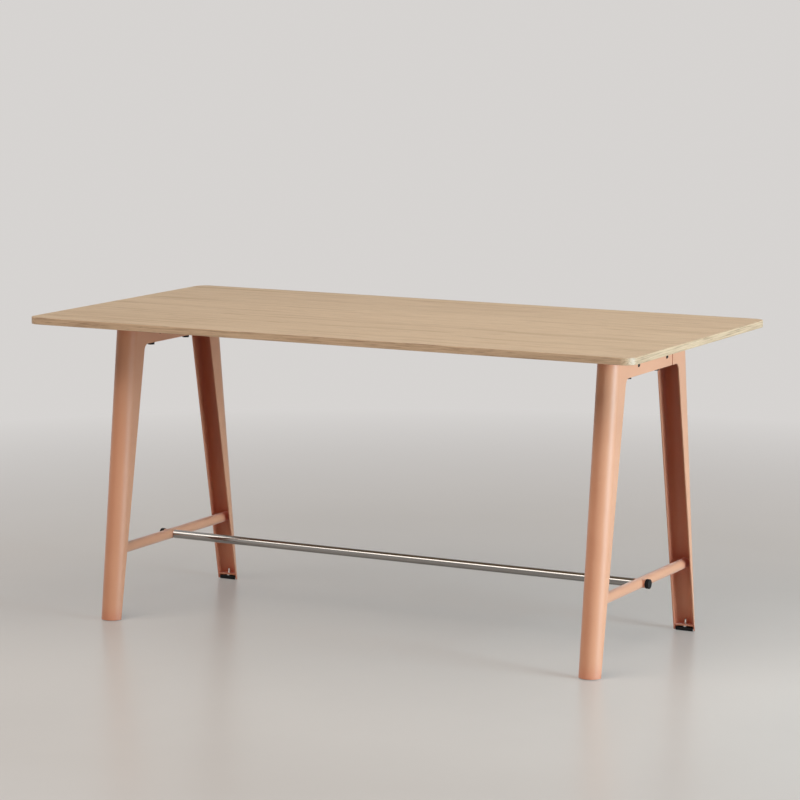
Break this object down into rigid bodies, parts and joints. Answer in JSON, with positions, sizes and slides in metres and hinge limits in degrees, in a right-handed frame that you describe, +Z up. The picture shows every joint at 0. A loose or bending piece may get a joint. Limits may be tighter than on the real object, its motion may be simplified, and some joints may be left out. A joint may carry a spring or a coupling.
{
  "type": "high table",
  "caption": "High work table with a veneered top on two end frames of leaning bent-sheet legs, with a foot rest bar on cross tubes and levelling feet.",
  "frame": {"origin": "on the floor, under the centre of the table top", "axes": "+X along the table's length to the right, +Y away from the viewer across its width, +Z up"},
  "size_m": [1.9, 0.95, 0.9],
  "materials": {
    "oak": "matt lacquered oak veneer",
    "core_board": "raw board",
    "coral_paint": "fine-textured powder coat",
    "stainless": "brushed along the length",
    "zinc": "zinc plated",
    "brass": "plain",
    "black_steel": "black oxide",
    "black_plastic": "moulded, fine grain"
  },
  "bodies": {
    "frame": {"top_core": "core_board", "top_veneer": "oak", "bottom_veneer": "oak", "edge_band": "oak", "top_inserts": "brass", "side_screws": "black_steel", "weld_nuts": "zinc", "top_bolts": "black_steel", "top_bolt_washers": "black_steel", "footrest_bar": "stainless", "beam_channel_left": "coral_paint", "cross_tube_left": "coral_paint", "bar_boss_left": "coral_paint", "bar_plug_left": "zinc", "leg_left_front": "coral_paint", "foot_plate_left_front": "coral_paint", "leg_left_rear": "coral_paint", "foot_plate_left_rear": "coral_paint", "beam_channel_right": "coral_paint", "cross_tube_right": "coral_paint", "bar_boss_right": "coral_paint", "bar_plug_right": "zinc", "leg_right_front": "coral_paint", "foot_plate_right_front": "coral_paint", "leg_right_rear": "coral_paint", "foot_plate_right_rear": "coral_paint"},
    "pad_left_front": {"foot_pad_left_front": "black_plastic"},
    "stud_left_front": {"levelling_stud_left_front": "zinc"},
    "pad_left_rear": {"foot_pad_left_rear": "black_plastic"},
    "stud_left_rear": {"levelling_stud_left_rear": "zinc"},
    "pad_right_front": {"foot_pad_right_front": "black_plastic"},
    "stud_right_front": {"levelling_stud_right_front": "zinc"},
    "pad_right_rear": {"foot_pad_right_rear": "black_plastic"},
    "stud_right_rear": {"levelling_stud_right_rear": "zinc"},
    "washer_left": {"knob_washer_left": "black_steel"},
    "knob_left": {"clamp_knob_left": "black_plastic"},
    "washer_right": {"knob_washer_right": "black_steel"},
    "knob_right": {"clamp_knob_right": "black_plastic"}
  },
  "joints": [
    {"name": "foot_slide_left_front", "type": "slide", "parent": "frame", "child": "pad_left_front", "axis": [0, 0, -1], "range_m": [0, 0.013]},
    {"name": "foot_screw_left_front", "type": "hinge", "parent": "pad_left_front", "child": "stud_left_front", "pos_m": [-0.771, -0.3366, 0], "axis": [0, 0, -1], "range_deg": [0, 2880]},
    {"name": "foot_slide_left_rear", "type": "slide", "parent": "frame", "child": "pad_left_rear", "axis": [0, 0, -1], "range_m": [0, 0.013]},
    {"name": "foot_screw_left_rear", "type": "hinge", "parent": "pad_left_rear", "child": "stud_left_rear", "pos_m": [-0.771, 0.3366, 0], "axis": [0, 0, -1], "range_deg": [0, 2880]},
    {"name": "foot_slide_right_front", "type": "slide", "parent": "frame", "child": "pad_right_front", "axis": [0, 0, -1], "range_m": [0, 0.013]},
    {"name": "foot_screw_right_front", "type": "hinge", "parent": "pad_right_front", "child": "stud_right_front", "pos_m": [0.771, -0.3366, 0], "axis": [0, 0, -1], "range_deg": [0, 2880]},
    {"name": "foot_slide_right_rear", "type": "slide", "parent": "frame", "child": "pad_right_rear", "axis": [0, 0, -1], "range_m": [0, 0.013]},
    {"name": "foot_screw_right_rear", "type": "hinge", "parent": "pad_right_rear", "child": "stud_right_rear", "pos_m": [0.771, 0.3366, 0], "axis": [0, 0, -1], "range_deg": [0, 2880]},
    {"name": "knob_slide_left", "type": "slide", "parent": "frame", "child": "washer_left", "axis": [-1, 0, 0], "range_m": [0, 0.006]},
    {"name": "knob_turn_left", "type": "hinge", "parent": "washer_left", "child": "knob_left", "pos_m": [-0.79, 0, 0.201], "axis": [-1, 0, 0], "range_deg": [0, 1440]},
    {"name": "knob_slide_right", "type": "slide", "parent": "frame", "child": "washer_right", "axis": [1, 0, 0], "range_m": [0, 0.006]},
    {"name": "knob_turn_right", "type": "hinge", "parent": "washer_right", "child": "knob_right", "pos_m": [0.79, 0, 0.201], "axis": [1, 0, 0], "range_deg": [0, 1440]}
  ],
  "couplings": [
    {"joint": "foot_slide_left_front", "follows": "foot_screw_left_front", "m_per_rad": 0.0001989},
    {"joint": "foot_slide_left_rear", "follows": "foot_screw_left_rear", "m_per_rad": 0.0001989},
    {"joint": "foot_slide_right_front", "follows": "foot_screw_right_front", "m_per_rad": 0.0001989},
    {"joint": "foot_slide_right_rear", "follows": "foot_screw_right_rear", "m_per_rad": 0.0001989},
    {"joint": "knob_slide_left", "follows": "knob_turn_left", "m_per_rad": 0.0001989},
    {"joint": "knob_slide_right", "follows": "knob_turn_right", "m_per_rad": 0.0001989}
  ]
}
